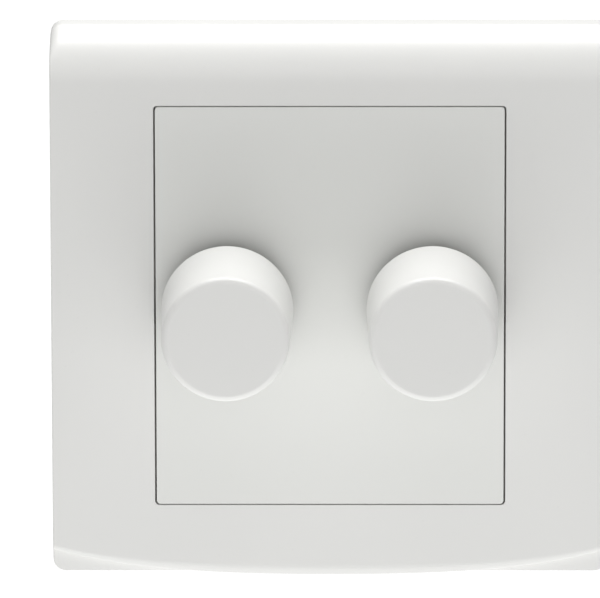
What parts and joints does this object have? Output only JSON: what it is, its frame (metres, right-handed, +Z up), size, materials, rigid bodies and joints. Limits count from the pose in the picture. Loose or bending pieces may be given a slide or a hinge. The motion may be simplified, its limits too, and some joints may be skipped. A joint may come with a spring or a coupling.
{
  "type": "two-gang rotary dimmer switch",
  "caption": "Square white wall plate with rotary push dimmer knobs on a flush centre panel, a boxed control unit and screw terminals behind.",
  "frame": {"origin": "on the wall plane, behind the middle of the centre panel, midway between the wall screws", "axes": "+X right seen from the front, +Z up, +Y into the wall; the knobs point along -Y"},
  "size_m": [0.086, 0.0597, 0.0863],
  "materials": {
    "white_moulding": "satin white urea moulding, fine even texture",
    "grey_moulding": "light grey moulded plastic",
    "terminal_moulding": "natural moulded nylon",
    "aluminium": "rolled sheet, satin",
    "laminate": "phenolic circuit laminate with solder side",
    "brass": "turned brass",
    "zinc_steel": "bright zinc plate",
    "spring_steel": "bare spring steel",
    "carbon_track": "printed carbon film",
    "black_moulding": "black moulded plastic",
    "blue_moulding": "blue moulded plastic",
    "iron_powder": "painted iron powder core",
    "copper_wire": "enamelled copper wire, wound side by side",
    "red_film": "dipped film capacitor coat",
    "ceramic": "glazed ceramic tube with plated caps"
  },
  "bodies": {
    "plate": {"front_frame": "white_moulding", "centre_panel": "white_moulding", "support_base": "grey_moulding", "rear_housing": "grey_moulding", "terminal_block": "terminal_moulding", "heat_sink_plate": "aluminium", "circuit_board": "laminate", "terminal_clamp_1": "brass", "terminal_clamp_2": "brass", "terminal_clamp_3": "brass", "terminal_clamp_4": "brass", "left_bush": "brass", "right_bush": "brass", "terminal_screw_1": "zinc_steel", "terminal_screw_2": "zinc_steel", "terminal_screw_3": "zinc_steel", "terminal_screw_4": "zinc_steel", "housing_screw_1": "zinc_steel", "housing_screw_2": "zinc_steel", "housing_screw_3": "zinc_steel", "housing_screw_4": "zinc_steel", "left_wall_screw": "zinc_steel", "right_wall_screw": "zinc_steel", "left_triac_screw": "zinc_steel", "right_triac_screw": "zinc_steel", "left_washer": "zinc_steel", "right_washer": "zinc_steel", "left_nut": "zinc_steel", "right_nut": "zinc_steel", "left_pot_case": "zinc_steel", "right_pot_case": "zinc_steel", "left_spring": "spring_steel", "right_spring": "spring_steel", "left_track": "carbon_track", "right_track": "carbon_track", "left_triac": "black_moulding", "right_triac": "black_moulding", "left_switch_case": "blue_moulding", "right_switch_case": "blue_moulding", "left_choke_core": "iron_powder", "right_choke_core": "iron_powder", "left_choke_winding": "copper_wire", "right_choke_winding": "copper_wire", "left_capacitor": "red_film", "right_capacitor": "red_film", "left_fuse": "ceramic", "right_fuse": "ceramic"},
    "left_push_body": {"left_plunger": "black_moulding"},
    "left_knob_body": {"left_knob": "white_moulding", "left_knob_clip": "spring_steel", "left_shaft": "zinc_steel"},
    "left_rotor_body": {"left_rotor": "black_moulding", "left_wiper": "spring_steel"},
    "right_push_body": {"right_plunger": "black_moulding"},
    "right_knob_body": {"right_knob": "white_moulding", "right_knob_clip": "spring_steel", "right_shaft": "zinc_steel"},
    "right_rotor_body": {"right_rotor": "black_moulding", "right_wiper": "spring_steel"}
  },
  "joints": [
    {"name": "left_push", "type": "slide", "parent": "plate", "child": "left_push_body", "axis": [0, 1, 0], "range_m": [0, 0.0015], "stiffness_N_per_m": 1500, "springref_m": -0.001, "deforming": ["left_spring"]},
    {"name": "left_turn", "type": "hinge", "parent": "left_push_body", "child": "left_knob_body", "pos_m": [-0.0158, -0.02, 0], "axis": [0, 1, 0], "range_deg": [-140, 140]},
    {"name": "left_rotor_turn", "type": "hinge", "parent": "plate", "child": "left_rotor_body", "pos_m": [-0.0158, 0.005, 0], "axis": [0, 1, 0], "range_deg": [-140, 140]},
    {"name": "right_push", "type": "slide", "parent": "plate", "child": "right_push_body", "axis": [0, 1, 0], "range_m": [0, 0.0015], "stiffness_N_per_m": 1500, "springref_m": -0.001, "deforming": ["right_spring"]},
    {"name": "right_turn", "type": "hinge", "parent": "right_push_body", "child": "right_knob_body", "pos_m": [0.0158, -0.02, 0], "axis": [0, 1, 0], "range_deg": [-140, 140]},
    {"name": "right_rotor_turn", "type": "hinge", "parent": "plate", "child": "right_rotor_body", "pos_m": [0.0158, 0.005, 0], "axis": [0, 1, 0], "range_deg": [-140, 140]}
  ],
  "couplings": [
    {"joint": "left_rotor_turn", "follows": "left_turn", "ratio": 1},
    {"joint": "right_rotor_turn", "follows": "right_turn", "ratio": 1}
  ]
}
